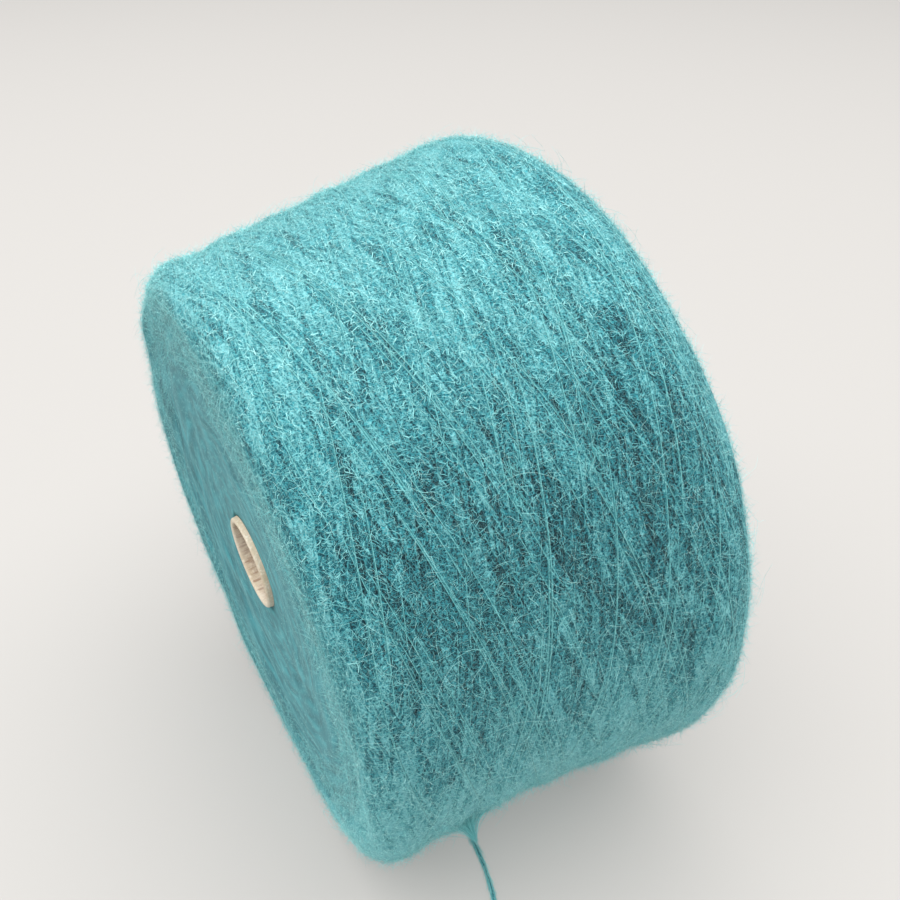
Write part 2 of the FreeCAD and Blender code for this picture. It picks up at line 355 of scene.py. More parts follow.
grid_map = np.empty(len(wound.data.loops) * 2)
wound.data.uv_layers.active.uv.foreach_get("vector", grid_map)
grid_map = grid_map.reshape(-1, 2)
bake_map = wound.data.uv_layers.new(name="OFBake")
bake_map.uv.foreach_set("vector", grid_map.ravel())
ring_table = np.append(ring_runs, OUTLINE_LENGTH + np.linspace(0.01, 0.1, BORE_RINGS + 1))
grid_map[:, 0] = np.interp(grid_map[:, 0] * rings, np.arange(rings + 1), ring_table[: rings + 1])
grid_map[:, 1] *= 2 * math.pi * MEAN_RADIUS
wound.data.uv_layers[0].name = "Yarn"
wound.data.uv_layers["Yarn"].uv.foreach_set("vector", grid_map.ravel())
bpy.ops.object.mode_set(mode="EDIT")
bpy.ops.mesh.select_all(action="SELECT")
bpy.ops.mesh.remove_doubles(threshold=1e-6)
bpy.ops.mesh.normals_make_consistent(inside=False)
bpy.ops.object.mode_set(mode="OBJECT")
bpy.ops.object.shade_smooth()


CURL_COARSE, CURL_FINE = 0.0012, 0.0008
TURN_SPACING, TURN_REACH = (0.0036, 0.0034), (0.060, 0.055)
BAND_SPACING, BAND_REACH = 0.0040, 0.030
GAP_SPACING, GAP_REACH, GAP_TILT = 0.0021, 0.0060, 0.12
# The first value is the size of the patches where the gaps are darkened with painted shade.
GAP_SHADE_PATCH, CLOUD_PATCH = 0.022, 0.007
YARN_RELIEF = 0.0007

# What each layer of the pattern adds to the yarn's shade, which runs from 0, dark, to 1, pale.
FELT_SHADE, FELT_START = 0.45, 0.05
# The second value darkens the gaps between turns with painted shade.
LINE_SHADE, GAP_SHADE = 0.40, -0.20
# The second value deepens the pattern where shade is painted and flattens it where light is painted.
OPEN_TURNS, CONTRAST_BY_PAINTED_LIGHT = 0.75, -0.45
BAND_SHADE, FELT_IN_BANDS = 0.28, 0.10
# The last value is how far painted light and shade lift or lower the shade.
CLOUD_SHADE, FACE_SHADE, PAINTED_LIGHT_SHADE = 0.2, 0.02, 0.40
YARN_SHADE = 0.27


def curls(tree, solid, size, shift):
    """Curled fibres: the thin lines where a soft noise passes through its middle value."""
    moved = add(tree, "VectorMath", {0: solid, 1: (shift, shift, shift)}, operation="ADD")["Vector"]
    cloud = add(tree, "TexNoise", {"Vector": moved, "Scale": 1 / size, "Detail": 1.0})["Fac"]
    return add(tree, "ValToRGB", {"Fac": cloud}, [(0.41, 0.0), (0.59, 0.0), (0.5, 1.0)])["Color"]


def laid_turns(tree, place, tilt, spacing, length, stops):
    """Long thin lines along one hand of the crossing turns, each a pale yarn beside a painted groove shadow.
    """
    turned = add(tree, "Mapping", {"Vector": place, "Rotation": (0.0, 0.0, tilt)})["Vector"]
    drawn = add(tree, "Mapping", {"Vector": turned, "Scale": (1 / spacing, 1 / length, 1.0)})["Vector"]
    cloud = add(tree, "TexNoise", {"Vector": drawn, "Scale": 1.0, "Detail": 1.0})["Fac"]
    return add(tree, "ValToRGB", {"Fac": cloud}, stops)["Color"]


# The dark dip beside each pale line is painted shadow of its groove.
GROOVE_SHADOW_STOPS = [(0.40, 0.5), (0.62, 0.5), (0.455, 0.05), (0.485, 0.15), (0.51, 1.0), (0.55, 0.75)]
SOFT_STREAK = [(0.30, 0.0), (0.70, 1.0)]


def brushed_yarn():
    """Brushed yarn in bulk: matted curls of pale fibre over dark gaps of painted shade, with long turns half
    sunk in them.

    It is matt, and its raised fibres catch the light where the surface turns away, which sheen gives. Painted
    light makes the underside paler and evener; painted shade makes one side of the flank darker.
    """
    material, tree = new_material("Brushed yarn")
    place = add(tree, "UVMap", {}, uv_map="Yarn")["UV"]
    solid = add(tree, "TexCoord", {})["Object"]
    flank = add(tree, "Attribute", {}, attribute_name="flank")["Fac"]
    coarse = curls(tree, solid, CURL_COARSE, 0.0)
    fine = curls(tree, solid, CURL_FINE, 0.3)
    left = laid_turns(tree, place, YARN_ANGLE, TURN_SPACING[0], TURN_REACH[0], GROOVE_SHADOW_STOPS)
    right = laid_turns(tree, place, -YARN_ANGLE, TURN_SPACING[1], TURN_REACH[1], GROOVE_SHADOW_STOPS)
    bands = laid_turns(tree, place, 0.0, BAND_SPACING, BAND_REACH, SOFT_STREAK)
    # Dark gaps between the turns, in patches: painted shade.
    gaps = laid_turns(tree, place, GAP_TILT, GAP_SPACING, GAP_REACH, [(0.34, 1.0), (0.44, 0.0)])
    painted_shade = add(tree, "TexNoise", {"Vector": solid, "Scale": 1 / GAP_SHADE_PATCH, "Detail": 2.0})["Fac"]
    cloud = add(tree, "TexNoise", {"Vector": solid, "Scale": 1 / CLOUD_PATCH, "Detail": 2.0})["Fac"]

    felt = add(tree, "Math", {0: coarse, 1: fine}, operation="MAXIMUM")["Value"]
    lines = add(tree, "Math", {0: left, 1: right}, operation="ADD")["Value"]
    lines = add(tree, "Math", {0: lines, 1: -1.0}, operation="ADD")["Value"]
    open_gaps = add(tree, "MapRange", {"Value": painted_shade, "From Min": 0.42, "From Max": 0.60})["Result"]
    dark = add(tree, "Math", {0: gaps, 1: open_gaps}, operation="MULTIPLY")["Value"]
    relief = add(tree, "Math", {0: felt, 1: FELT_SHADE, 2: FELT_START}, operation="MULTIPLY_ADD")["Value"]
    relief = add(tree, "Math", {0: lines, 1: LINE_SHADE, 2: relief}, operation="MULTIPLY_ADD")["Value"]
    relief = add(tree, "Math", {0: dark, 1: GAP_SHADE, 2: relief}, operation="MULTIPLY_ADD")["Value"]
    relief = add(tree, "Math", {0: relief, 1: flank}, operation="MULTIPLY")["Value"]
    # Painted light and shade, from the attribute, set the pattern's depth and lift or lower the shade.
    painted_light_offset = add(tree, "Attribute", {}, attribute_name="painted_light")["Fac"]
    painted_light_contrast_inputs = {0: painted_light_offset, 1: CONTRAST_BY_PAINTED_LIGHT, 2: OPEN_TURNS}
    painted_light_contrast = add(tree, "Math", painted_light_contrast_inputs, operation="MULTIPLY_ADD")["Value"]
    relief = add(tree, "Math", {0: relief, 1: painted_light_contrast}, operation="MULTIPLY")["Value"]
    smooth = add(tree, "Math", {0: felt, 1: FELT_IN_BANDS, 2: bands}, operation="MULTIPLY_ADD")["Value"]
    smooth = add(tree, "Math", {0: smooth, 1: BAND_SHADE}, operation="MULTIPLY")["Value"]
    both = add(tree, "Math", {0: relief, 1: smooth}, operation="ADD")["Value"]
    shade = add(tree, "Math", {0: cloud, 1: CLOUD_SHADE, 2: both}, operation="MULTIPLY_ADD")["Value"]
    shade = add(tree, "Math", {0: shade, 1: YARN_SHADE}, operation="ADD")["Value"]
    face = add(tree, "Math", {0: 1.0, 1: flank}, operation="SUBTRACT")["Value"]
    shade = add(tree, "Math", {0: face, 1: FACE_SHADE, 2: shade}, operation="MULTIPLY_ADD")["Value"]
    shade = add(tree, "Math", {0: painted_light_offset, 1: PAINTED_LIGHT_SHADE, 2: shade}, operation="MULTIPLY_ADD")["Value"]
    stops = [(0.05, "0A262F"), (0.95, "7AC2C9"), (0.30, "124450"), (0.52, "226A76"), (0.75, "3E97A2")]
    tint = add(tree, "ValToRGB", {"Fac": shade}, stops)["Color"]
    finish_material(
        tree,
        tint,
        0.9,
        both,
        YARN_RELIEF,
        Specular_IOR_Level=0.15,
        Sheen_Weight=0.35,
        Sheen_Roughness=0.5,
        Sheen_Tint=linear("A9E1E2"),
    )
    return material


wound.data.materials.append(brushed_yarn())
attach(wound, "root")
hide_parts("yarn_package")

# ---------------------------------------------------------------------------------------------------------
# Outermost turns. The last layers of the yarn cross each other at a small angle and turn back at the lips.
# They are half sunk in the fuzz of the layers below, so they come and go, each beside a dark strand of
# painted shadow along its groove.

TURN_RADIUS = 0.00011
TURN_SIDES = 4
TURN_STEP = 0.0040
PASSES_PER_TURN = 1.2713
PASSES = 76
TURN_SINK = -0.00010
TURN_RISE = 0.00026
# A dark strand beside each turn is painted shadow of its groove; these set how far aside and how low.
GROOVE_SHADOW_OFFSET, GROOVE_SHADOW_SINK = 0.00028, 0.00003
LIP_OVERRUN, LIP_SCATTER, LAY_SCATTER = 0.006, 0.0040, 0.0014
LAY_KNOTS, LIFT_KNOTS = 3, 12
TURN_BACK = 0.985
# The second value makes the groove strands dark: painted shadow.
TURN_TONE, GROOVE_SHADOW_TONE = 0.60, -0.9
CELL_FILL, CELL_MARGIN = 0.9, 0.05


def wander(knot_count, count, dice):
    """A random line between -1 and 1 with count values, bending at evenly spaced knots."""
    knots = dice.uniform(-1.0, 1.0, max(4, int(knot_count)))
    return np.interp(np.linspace(0, len(knots) - 1, count), np.arange(len(knots)), knots)


def fibre_piece(name, points, faces, cells, tone, material, normals=None):
    """A smooth mesh piece from arrays: points, triangles, their places in the bake map, and a shade each.

    Fine fuzz that lies flat can take the normals of the surface below, as light passes through it.
    """
    mesh = bpy.data.meshes.new(name)
    mesh.vertices.add(len(points))
    mesh.vertices.foreach_set("co", points.ravel())
    mesh.loops.add(faces.size)
    mesh.loops.foreach_set("vertex_index", faces.ravel().astype(np.int32))
    mesh.polygons.add(len(faces))
    mesh.polygons.foreach_set("loop_start", np.arange(0, faces.size, 3, dtype=np.int32))
    mesh.polygons.foreach_set("use_smooth", np.ones(len(faces), dtype=bool))
    mesh.uv_layers.new(name="OFBake").uv.foreach_set("vector", cells.ravel())
    shade = mesh.attributes.new("tone", "FLOAT", "POINT")
    shade.data.foreach_set("value", tone.astype(np.float32))
    mesh.update(calc_edges=True)
    if normals is not None:
        mesh.normals_split_custom_set_from_vertices(normals.tolist())
    piece = bpy.data.objects.new(name, mesh)
    bpy.context.scene.collection.objects.link(piece)
    piece.data.materials.append(material)
    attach(piece, "root")
    return piece


def spindles(lines, upward, radius, sides=3, taper=0.0, flat=1.0):
    """Closed tapered tubes along many lines at once, with the cell of the bake map that each one takes.

    lines is how many by steps by 3, and upward is any direction off the line at each point.
    """
    many, steps, _ = lines.shape
    ahead = np.gradient(lines, axis=1)
    ahead /= np.maximum(np.linalg.norm(ahead, axis=2, keepdims=True), 1e-12)
    side = np.cross(ahead, upward)
    side /= np.maximum(np.linalg.norm(side, axis=2, keepdims=True), 1e-12)
    above = np.cross(side, ahead)
    angle = math.pi / 2 - math.pi / sides + np.arange(sides) * 2 * math.pi / sides
    spoke = side[:, 1:-1, None] * np.cos(angle)[:, None]
    spoke = spoke + above[:, 1:-1, None] * np.sin(angle)[:, None] * flat
    thin = 1 - taper * np.linspace(0, 1, steps - 2)
    body = lines[:, 1:-1, None] + spoke * radius[:, None, None, None] * thin[None, :, None, None]
    hoops = steps - 2
    each = hoops * sides + 2
    points = np.concatenate([lines[:, :1], body.reshape(many, hoops * sides, 3), lines[:, -1:]], axis=1)
    corners, cell = [], []
    for spot in range(sides):
        following = (spot + 1) % sides
        low, high, middle = spot / sides, (spot + 1) / sides, (spot + 0.5) / sides
        corners.append((0, 1 + spot, 1 + following))
        cell.append(((0, middle), (1, low), (1, high)))
        for hoop in range(hoops - 1):
            first, second = 1 + hoop * sides, 1 + (hoop + 1) * sides
            corners.append((first + spot, second + spot, second + following))
            cell.append(((hoop + 1, low), (hoop + 2, low), (hoop + 2, high)))
            corners.append((first + spot, second + following, first + following))
            cell.append(((hoop + 1, low), (hoop + 2, high), (hoop + 1, high)))
        top = 1 + (hoops - 1) * sides
        corners.append((each - 1, top + following, top + spot))
        cell.append(((hoops + 1, middle), (hoops, high), (hoops, low)))
    faces = (np.array(corners)[None] + (np.arange(many) * each)[:, None, None]).reshape(-1, 3)
    columns = math.ceil(math.sqrt(many))
    inset = np.array(cell, dtype=float) / (hoops + 1, 1.0) * CELL_FILL + CELL_MARGIN
    corner = np.stack([np.arange(many) % columns, np.arange(many) // columns], axis=-1)
    cells = (corner[:, None, None] + inset[None]) / columns
    return points.reshape(-1, 3), faces, cells.reshape(-1, 2), each


MOHAIR_CLOUD = 0.012
MOHAIR_CLOUD_TONE, MOHAIR_CLOUD_START = 0.3, -0.15


def mohair(name, dark, middle, pale, roughness):
    """Loose mohair-type fibre: fine hairs of several shades, softly shining where light passes along them."""
    material, tree = new_material(name)
    tone = add(tree, "Attribute", {}, attribute_name="tone")["Fac"]
    solid = add(tree, "TexCoord", {})["Object"]
    cloud = add(tree, "TexNoise", {"Vector": solid, "Scale": 1 / MOHAIR_CLOUD, "Detail": 2.0})["Fac"]
    clouded = {0: cloud, 1: MOHAIR_CLOUD_TONE, 2: MOHAIR_CLOUD_START}
    shade = add(tree, "Math", clouded, operation="MULTIPLY_ADD")["Value"]
    shade = add(tree, "Math", {0: shade, 1: tone}, operation="ADD")["Value"]
    tint = add(tree, "ValToRGB", {"Fac": shade}, [(0.0, dark), (1.0, pale), (0.5, middle)])["Color"]
    finish_material(
        tree,
        tint,
        roughness,
        Specular_IOR_Level=0.3,
        Sheen_Weight=0.9,
        Sheen_Roughness=0.45,
        Sheen_Tint=linear("A9E1E2"),
    )
    return material


def outer_turns(first, last, dice):
    """Where an unbroken length of yarn runs on the package between two passes, and how far it stands out."""
    turns = (last - first) / PASSES_PER_TURN
    count = int(turns * 2 * math.pi * MEAN_RADIUS / TURN_STEP)
    passed = np.linspace(first, last, count)
    wave = np.arcsin(TURN_BACK * np.sin(passed * math.pi)) / math.asin(TURN_BACK)
    middle, half = (NEAR_CREST + FAR_CREST) / 2, (FAR_CREST - NEAR_CREST) / 2
    reach = half + LIP_OVERRUN + LIP_SCATTER * wander(last - first, count, dice)
    run = middle + reach * wave + LAY_SCATTER * wander((last - first) * LAY_KNOTS, count, dice)
    turn = passed / PASSES_PER_TURN * 2 * math.pi
    lift = TURN_SINK + TURN_RISE * wander((last - first) * LIFT_KNOTS, count, dice)
    return run, turn, lift, np.cos(passed * math.pi)


def wind(name, run, turn, lift, tone, material):
    """The yarn along its turns as one closed piece."""
    lines = package_point(run, turn, lift)[None]
    upward = package_normal(run, turn)[None]
    points, faces, cells, _ = spindles(lines, upward, np.array([TURN_RADIUS]), TURN_SIDES)
    fibre_piece(name, points, faces, cells, np.full(len(points), tone), material)


turn_dice = np.random.default_rng(11)
yarn_core = mohair("Yarn core", "2E7D84", "67B5B9", "94D1D2", 0.7)
for number in range(2):
    first = number * PASSES / 2 + 0.37 * number
    run, turn, lift, hand = outer_turns(first, first + PASSES / 2, turn_dice)
    wind(f"outer_turns_{number + 1}", run, turn, lift, TURN_TONE, yarn_core)
    # Beside each turn, a dark strand of painted shadow along its groove.
    groove_shadow = run + GROOVE_SHADOW_OFFSET * np.sign(hand)
    wind(f"painted_groove_shadows_{number + 1}", groove_shadow, turn, lift - GROOVE_SHADOW_SINK, GROOVE_SHADOW_TONE, yarn_core)

# ---------------------------------------------------------------------------------------------------------
# Raised fibres. Brushing pulls fine hairs out of the yarn. Most lie matted over the turns, many stand off as
# a soft halo, a few long ones stray, and some gather in small tufts. Each hair is a closed spindle.

hair_dice = np.random.default_rng(23)
LYING_FLAT = 0.35
END_GAP, LEAST_RADIUS = 0.0012, 0.02
BEND_START, WAVE_SHARE = 0.3, 0.5


def roots(count, first, last):
    """Where hairs grow: even over the surface between two distances along the outline."""
    run = hair_dice.uniform(first, last, count * 4)
    kept = hair_dice.uniform(0, 1, count * 4) * FAR_RADIUS < np.interp(run, RUN, RADII)
    return run[kept][:count], hair_dice.uniform(0, 2 * math.pi, min(count, kept.sum()))


def grow(run, turn, steps, spread, length, curl, base, rise, power=1.0, lean=YARN_ANGLE):
    """Hairs from their roots: along the turns give or take a spread, curling, and rising off the surface."""
    many = len(run)
    along = np.linspace(0, 1, steps)[None]
    heading = hair_dice.choice([-1.0, 1.0], many) * lean + hair_dice.normal(0, spread, many)
    heading += math.pi * hair_dice.integers(0, 2, many)
    size = hair_dice.uniform(*length, many)[:, None]
    bend = hair_dice.normal(0, curl, many)[:, None] * (along - BEND_START)
    wave = hair_dice.normal(0, curl * WAVE_SHARE, many)[:, None] * np.sin(2 * math.pi * along)
    angle = heading[:, None] + bend + wave
    radius = np.maximum(np.interp(run, RUN, RADII), LEAST_RADIUS)[:, None]
    run = run[:, None] + np.cumsum(np.sin(angle), axis=1) * size / (steps - 1)
    turn = turn[:, None] + np.cumsum(np.cos(angle), axis=1) * size / (steps - 1) / radius
    run = np.clip(run, END_GAP, OUTLINE_LENGTH - END_GAP)
    low = hair_dice.uniform(*base, many)[:, None]
    top = hair_dice.uniform(*rise, many)[:, None]
    arch = np.sin(math.pi * along) if power == 0 else along**power
    return package_point(run, turn, low + top * arch), package_normal(run, turn)


def hair_piece(name, lines, upward, thick, tones, material, taper=0.0, lying=False, painted_tone=0.0):
    """Many hairs as one piece, each with its own thickness and shade.

    Lying hairs are pressed flat and shade as their surface does. The last argument, painted light and
    shade, is added to the shade of each hair.
    """
    many = len(lines)
    flat = LYING_FLAT if lying else 1.0
    points, faces, cells, each = spindles(lines, upward, hair_dice.uniform(*thick, many), 3, taper, flat)
    tone = np.repeat(hair_dice.uniform(*tones, many) + painted_tone, each)
    normals = np.repeat(upward[:, 0], each, axis=0) if lying else None
    return fibre_piece(name, points, faces, cells, tone, material, normals)


matted = mohair("Matted mohair", "34808A", "78C0C4", "B0ECEC", 0.75)
halo = mohair("Raised mohair", "62BEC2", "90DADB", "BDF1EF", 0.6)
upright = mohair("Standing mohair", "38979D", "6FCCCF", "ABEFEF", 0.6)

# Short curled hairs matted over the turns, thinning out down the two faces.
MATTED_PIECES, MATTED_EACH, MATTED_STEPS = 4, 16000, 4
MATTED_LENGTH, MATTED_THICK = (0.0012, 0.0038), (0.00006, 0.000115)
MATTED_SPREAD, MATTED_CURL = 0.75, 1.5
MATTED_FOOT, MATTED_RISE = (-0.0001, 0.0003), (0.0001, 0.0006)
# The second value scales the painted light and shade on these hairs.
LIP_FRINGE, MATTED_PAINTED_LIGHT = 0.028, 0.60
for number in range(MATTED_PIECES):
    run, turn = roots(MATTED_EACH, NEAR_RIM - LIP_FRINGE, FAR_RIM + LIP_FRINGE)
    from_flank = np.maximum(NEAR_RIM - run, run - FAR_RIM) / LIP_FRINGE
    kept = hair_dice.uniform(0, 1, len(run)) > from_flank
    run, turn = run[kept], turn[kept]
    # Painted light and shade on these hairs: paler underneath, darker along one side of the flank.
    painted_tone = MATTED_PAINTED_LIGHT * (painted_light(run, turn) - 1)
    form = (MATTED_STEPS, MATTED_SPREAD, MATTED_LENGTH, MATTED_CURL, MATTED_FOOT, MATTED_RISE, 0)
    lines, upward = grow(run, turn, *form)
    name = f"matted_fibres_{number + 1}"
    hair_piece(name, lines, upward, MATTED_THICK, (0.15, 0.95), matted, lying=True, painted_tone=painted_tone)

# Finer hairs lying round the two end faces, where the turns bend back.
FACE_HAIRS, FACE_STEPS = 6000, 3
FACE_LENGTH, FACE_THICK = (0.0020, 0.0050), (0.00003, 0.00006)
FACE_SPREAD, FACE_CURL = 0.5, 0.6
FACE_FOOT, FACE_RISE = (-0.0001, 0.0001), (0.0, 0.0003)
NEAR_BARE, FAR_BARE = 0.007, 0.004
for name, first, last in (("near", NEAR_BARE, NEAR_RIM), ("far", FAR_RIM, OUTLINE_LENGTH - FAR_BARE)):
    run, turn = roots(FACE_HAIRS, first, last)
    form = (FACE_STEPS, FACE_SPREAD, FACE_LENGTH, FACE_CURL, FACE_FOOT, FACE_RISE, 0, 0.0)
    lines, upward = grow(run, turn, *form)
    # Their tones, darker than on the flank, are painted shade on the end faces.
    hair_piece(f"{name}_face_fibres", lines, upward, FACE_THICK, (0.1, 0.6), matted, lying=True)

# A short dense pile that stands up from the flank and the lips.
UPRIGHT_PIECES, UPRIGHT_EACH, UPRIGHT_STEPS = 2, 32000, 3
UPRIGHT_LENGTH, UPRIGHT_THICK = (0.0005, 0.0016), (0.00003, 0.00005)
UPRIGHT_SPREAD, UPRIGHT_CURL = 0.9, 0.5
UPRIGHT_FOOT, UPRIGHT_RISE = (-0.0002, 0.0), (0.0006, 0.0018)
# The last value scales the painted light and shade on these hairs.
UPRIGHT_PAST_NEAR, UPRIGHT_PAST_FAR, UPRIGHT_PAINTED_LIGHT = 0.002, 0.004, 0.3
for number in range(UPRIGHT_PIECES):
    run, turn = roots(UPRIGHT_EACH, NEAR_RIM - UPRIGHT_PAST_NEAR, FAR_RIM + UPRIGHT_PAST_FAR)
    form = (UPRIGHT_STEPS, UPRIGHT_SPREAD, UPRIGHT_LENGTH, UPRIGHT_CURL, UPRIGHT_FOOT, UPRIGHT_RISE, 1.2)
    lines, upward = grow(run, turn, *form)
    name = f"upright_fibres_{number + 1}"
    # Painted light and shade on these hairs: paler underneath, darker along one side of the flank.
    painted_tone = UPRIGHT_PAINTED_LIGHT * (painted_light(run, turn) - 1)
    hair_piece(name, lines, upward, UPRIGHT_THICK, (0.0, 1.0), upright, 0.3, painted_tone=painted_tone)

# The soft halo: longer hairs that leave the surface at a slant.
HALO_PIECES, HALO_EACH, HALO_STEPS = 3, 11000, 4
HALO_LENGTH, HALO_THICK = (0.0030, 0.0075), (0.000028, 0.000050)
HALO_SPREAD, HALO_CURL = 1.2, 1.2
HALO_FOOT, HALO_RISE = (-0.0002, 0.0001), (0.0010, 0.0044)
HALO_PAST_NEAR, HALO_PAST_FAR = 0.020, 0.030
for number in range(HALO_PIECES):
    run, turn = roots(HALO_EACH, NEAR_RIM - HALO_PAST_NEAR, FAR_RIM + HALO_PAST_FAR)
    form = (HALO_STEPS, HALO_SPREAD, HALO_LENGTH, HALO_CURL, HALO_FOOT, HALO_RISE, 1.4)
    lines, upward = grow(run, turn, *form)
    hair_piece(f"halo_fibres_{number + 1}", lines, upward, HALO_THICK, (0.0, 0.9), halo, 0.4)

# Long strays that curl well away from the yarn.
STRAYS, STRAY_STEPS = 800, 9
STRAY_LENGTH, STRAY_THICK = (0.008, 0.022), (0.00003, 0.000045)
STRAY_FOOT, STRAY_RISE = (-0.0002, 0.0), (0.0015, 0.0065)
run, turn = roots(STRAYS, NEAR_RIM, FAR_RIM)
lines, upward = grow(run, turn, STRAY_STEPS, 1.5, STRAY_LENGTH, 2.4, STRAY_FOOT, STRAY_RISE, 0.9)
hair_piece("stray_fibres", lines, upward, STRAY_THICK, (0.2, 0.9), halo, 0.3)

# Small tufts, where a brushed loop has caught: hairs fanning out of one spot along the turns.
TUFTS, TUFT_HAIRS, TUFT_STEPS = 14, 36, 5
TUFT_LENGTH, TUFT_THICK = (0.0020, 0.0070), (0.00003, 0.00005)
TUFT_FOOT, TUFT_RISE = (0.0001, 0.0004), (0.0002, 0.0009)
tuft_run, tuft_turn = roots(TUFTS, NEAR_CREST, FAR_CREST)
run = np.repeat(tuft_run, TUFT_HAIRS) + hair_dice.normal(0, 0.0005, TUFTS * TUFT_HAIRS)
turn = np.repeat(tuft_turn, TUFT_HAIRS) + hair_dice.normal(0, 0.010, TUFTS * TUFT_HAIRS)
lines, upward = grow(run, turn, TUFT_STEPS, 0.25, TUFT_LENGTH, 0.7, TUFT_FOOT, TUFT_RISE, 0)
hair_piece("tufts", lines, upward, TUFT_THICK, (0.0, 0.7), upright)

# The fibres that the loose end draws out into a small tent above it.
PULLED_RUN, PULLED_TURN, PULLED_LIFT = 0.1075, math.radians(209.0), 0.0075
PULLED_HAIRS, PULLED_STEPS = 420, 7
PULLED_THICK = (0.00003, 0.00006)
FOOT_SPREAD_RUN, FOOT_SPREAD_TURN, FOOT_SINK = 0.0032, 0.034, -0.0002
WAIST_OWN, WAIST_SHARED, WAIST_LIFT = 0.35, 0.65, 0.0010
TIP_SPREAD, TIP_LOWEST = 0.00030, 0.35
LIT_TURN = PULLED_TURN - 0.6

run = PULLED_RUN + hair_dice.normal(0, FOOT_SPREAD_RUN, PULLED_HAIRS)
turn = PULLED_TURN + hair_dice.normal(0, FOOT_SPREAD_TURN, PULLED_HAIRS)
foot = package_point(run, turn, FOOT_SINK)[:, None]
waist_run = run * WAIST_OWN + PULLED_RUN * WAIST_SHARED
waist_turn = turn * WAIST_OWN + PULLED_TURN * WAIST_SHARED
waist = package_point(waist_run, waist_turn, WAIST_LIFT)[:, None]
tip_lift = PULLED_LIFT * hair_dice.uniform(TIP_LOWEST, 1.0, PULLED_HAIRS)
spread = hair_dice.normal(0, TIP_SPREAD, (2, PULLED_HAIRS))
tip = package_point(PULLED_RUN + spread[0], PULLED_TURN + spread[1] / MEAN_RADIUS, tip_lift)[:, None]
along = np.linspace(0, 1, PULLED_STEPS)[None, :, None]
lines = foot * (1 - along) ** 2 + waist * 2 * along * (1 - along) + tip * along**2
upward = np.broadcast_to(package_normal(PULLED_RUN, LIT_TURN), lines.shape)
hair_piece("pulled_fibres", lines, upward, PULLED_THICK, (0.0, 0.8), upright, 0.3)

# ---------------------------------------------------------------------------------------------------------
# Free end. The last turn comes out from under the package and lies on the table. It is a limp brushed yarn:
# a thin twisted core in a sleeve of fine fibres, cut off bare at its end.

TAIL_DIAMETER = 0.0012
CORE_RADIUS, CORE_RISE = 0.00024, 0.00050
SLEEVE_CURL, SLEEVE_CLOUD, SLEEVE_RELIEF = 0.0009, 0.003, 0.0002
TAIL_ROUTE = [
    (-0.0152, -0.0235),
    (-0.0171, -0.0355),
    (-0.0190, -0.0495),
    (-0.0216, -0.0635),
    (-0.0236, -0.0770),
    (-0.0273, -0.0900),
    (-0.0350, -0.1005),
    (-0.0475, -0.1050),
    (-0.0605, -0.1035),
    (-0.0705, -0.0960),
    (-0.0735, -0.0845),
    (-0.0705, -0.0775),
]


def route_curve(name):
    """A smooth line through the yarn's route, lying on the table."""
    line = bpy.data.curves.new(name, "CURVE")
    line.dimensions = "3D"
    spline = line.splines.new("NURBS")
    spline.points.add(len(TAIL_ROUTE) - 1)
    for point, (x, y) in zip(spline.points, TAIL_ROUTE):
        point.co = (x, y, TAIL_DIAMETER / 2, 1.0)
    spline.order_u = 3
    spline.use_endpoint_u = True
    spline.resolution_u = 12
    return line


bare_line = bpy.data.objects.new("bare_line", route_curve("bare_line"))
bare_mesh = bpy.data.meshes.new_from_object(bare_line)
tail_points = np.array([vertex.co for vertex in bare_mesh.vertices])
bpy.data.objects.remove(bare_line)
bpy.data.meshes.remove(bare_mesh)

tail_curve = route_curve("yarn_end")
tail_curve.bevel_depth = TAIL_DIAMETER / 2
tail_curve.bevel_resolution = 3
tail_curve.use_fill_caps = True
tail = bpy.data.objects.new("yarn_end", tail_curve)
bpy.context.scene.collection.objects.link(tail)


def sleeve():
    """The brushed sleeve of the single yarn: dark core showing between pale fibres drawn along it."""
    material, tree = new_material("Brushed single yarn")
    solid = add(tree, "TexCoord", {})["Object"]
    fibre = curls(tree, solid, SLEEVE_CURL, 0.7)
    cloud = add(tree, "TexNoise", {"Vector": solid, "Scale": 1 / SLEEVE_CLOUD, "Detail": 2.0})["Fac"]
    shade = add(tree, "Math", {0: fibre, 1: 0.4, 2: cloud}, operation="MULTIPLY_ADD")["Value"]
    stops = [(0.30, "3E939B"), (0.95, "8FD8DC"), (0.6, "62B4BB")]
    tint = add(tree, "ValToRGB", {"Fac": shade}, stops)["Color"]
    finish_material(
        tree,
        tint,
        0.85,
        fibre,
        SLEEVE_RELIEF,
        Specular_IOR_Level=0.2,
        Sheen_Weight=0.3,
        Sheen_Tint=linear("A9E1E2"),
    )
    return material


tail.data.materials.append(sleeve())
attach(tail, "root")
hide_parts("yarn_tail")

# The fuzz of the free end. Its fibres reach furthest where the yarn leaves the package.
TAIL_HAIRS, TAIL_STEPS = 2000, 5
TAIL_HAIR_SPAN, TAIL_HAIR_THICK = (0.002, 0.007), (0.00003, 0.00006)
LAST_START, HAIR_ROOT = 0.97, 0.3
REACH_LEAST, REACH_FURTHER = 0.00045, 0.0011
PULLED_REACH, PULLED_AT, PULLED_WIDTH = 0.0022, 0.030, 0.012
HAIR_LOWEST = 0.00025
TAIL_LIGHT = (0.1, 0.2, 0.97)

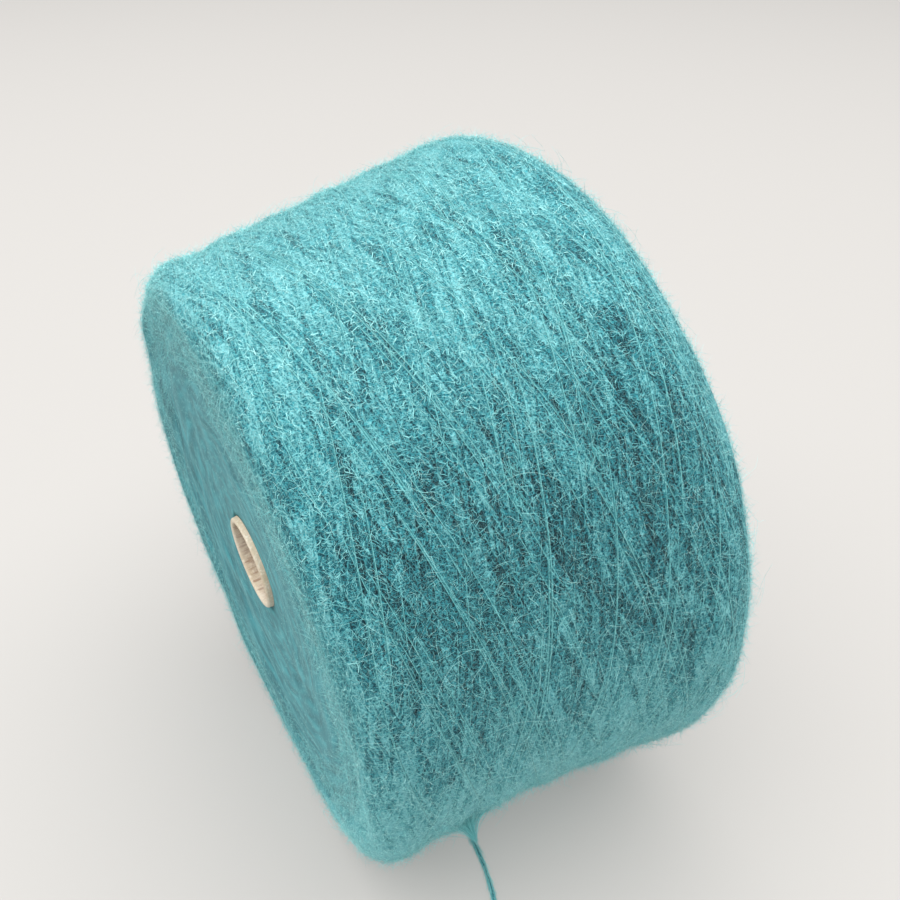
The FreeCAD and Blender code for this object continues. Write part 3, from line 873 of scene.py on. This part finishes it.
run = np.concatenate([[0.0], np.cumsum(np.linalg.norm(np.diff(tail_points, axis=0), axis=1))])
start = run[-1] * hair_dice.uniform(0.0, LAST_START, TAIL_HAIRS)
size = hair_dice.uniform(*TAIL_HAIR_SPAN, TAIL_HAIRS)
where = np.clip(start[:, None] + size[:, None] * np.linspace(0, 1, TAIL_STEPS), 0, run[-1])
base = np.stack([np.interp(where, run, tail_points[:, part]) for part in range(3)], axis=-1)
angle = hair_dice.uniform(0, 2 * math.pi, TAIL_HAIRS)[:, None] + hair_dice.normal(0, 0.8, (TAIL_HAIRS, 1))
reach = REACH_LEAST + REACH_FURTHER * hair_dice.uniform(0, 1, TAIL_HAIRS) ** 2.5
pulled = np.exp(-(((start - PULLED_AT) / PULLED_WIDTH) ** 2))
reach = reach + PULLED_REACH * hair_dice.uniform(0, 1, TAIL_HAIRS) * pulled
off = TAIL_DIAMETER * HAIR_ROOT + reach[:, None] * np.linspace(0, 1, TAIL_STEPS) ** 1.2
ahead = np.gradient(base, axis=1)
ahead /= np.maximum(np.linalg.norm(ahead, axis=2, keepdims=True), 1e-9)
level = np.cross(ahead, (0.0, 0.0, 1.0))
aside = level * np.cos(angle)[..., None] + np.array([0, 0, 1.0]) * np.sin(angle)[..., None]
lines = base + off[..., None] * aside
lines[..., 2] = np.maximum(lines[..., 2], HAIR_LOWEST)
upward = np.broadcast_to(TAIL_LIGHT, lines.shape)
fuzz = hair_piece("yarn_end_fibres", lines, upward, TAIL_HAIR_THICK, (0.0, 0.9), halo)

# The twisted core, which shows along the top of its sleeve. Its dark colour is painted shade.
core = mohair("Twisted core in painted shade", "12424C", "1B5762", "266A75", 0.7)
core_line = tail_points[None] + np.array([0.0, 0.0, CORE_RISE])
upward = np.broadcast_to(TAIL_LIGHT, core_line.shape)
points, faces, cells, _ = spindles(core_line, upward, np.array([CORE_RADIUS]), TURN_SIDES)
strand = fibre_piece("yarn_end_core", points, faces, cells, np.full(len(points), 0.4), core)

# ---------------------------------------------------------------------------------------------------------
# Table, lights and camera. The package lies on a plain pale table under one large soft lamp. The table glows
# faintly, as a white studio sends light up from all round.

TABLE_SIZE, TABLE_GLOW = 14.0, 0.25
WORLD_STRENGTH = 0.38
LAMP_PLACE, LAMP_TARGET = (-0.30, -0.15, 2.5), (0.0, 0.0, 0.1)
LAMP_SIZE, LAMP_POWER = 4.2, 205.0

clear_selection()
bpy.ops.mesh.primitive_plane_add(size=TABLE_SIZE, location=(0.0, 0.0, 0.0))
table = bpy.context.object
table.name = "table"
table_paint, tree = new_material("Matt laminate")
finish_material(
    tree,
    linear("949290"),
    0.9,
    Specular_IOR_Level=0.1,
    Emission_Color=linear("FFFDFA"),
    Emission_Strength=TABLE_GLOW,
)
table.data.materials.append(table_paint)

scene = bpy.context.scene
scene.view_settings.view_transform = "Standard"
world = bpy.data.worlds.new("studio")
scene.world = world
world.use_nodes = True
background = world.node_tree.nodes["Background"]
background.inputs["Color"].default_value = linear("FDFDFC")
background.inputs["Strength"].default_value = WORLD_STRENGTH


def soft_lamp(name, place, target, size, power, colour):
    """A square soft lamp at a place, turned to face a target."""
    lamp = bpy.data.lights.new(name, "AREA")
    lamp.size, lamp.energy, lamp.color = size, power, linear(colour)[:3]
    item = bpy.data.objects.new(name, lamp)
    item.location = place
    item.rotation_euler = (Vector(target) - Vector(place)).to_track_quat("-Z", "Y").to_euler()
    scene.collection.objects.link(item)


soft_lamp("overhead", LAMP_PLACE, LAMP_TARGET, LAMP_SIZE, LAMP_POWER, "FFFEFC")

CAMERA_FROM_NEAR_CENTRE = Vector((-0.06087, -0.24734, 0.20873))
LOOKING = Vector((0.4029, 0.7278, -0.5550))
camera_data = bpy.data.cameras.new("camera")
camera_data.lens, camera_data.sensor_width = 40.0, 36.0
camera_data.clip_start, camera_data.clip_end = 0.01, 50.0
camera = bpy.data.objects.new("camera", camera_data)
camera.location = near_centre + CAMERA_FROM_NEAR_CENTRE
camera.rotation_euler = LOOKING.to_track_quat("-Z", "Y").to_euler()
scene.collection.objects.link(camera)
scene.camera = camera
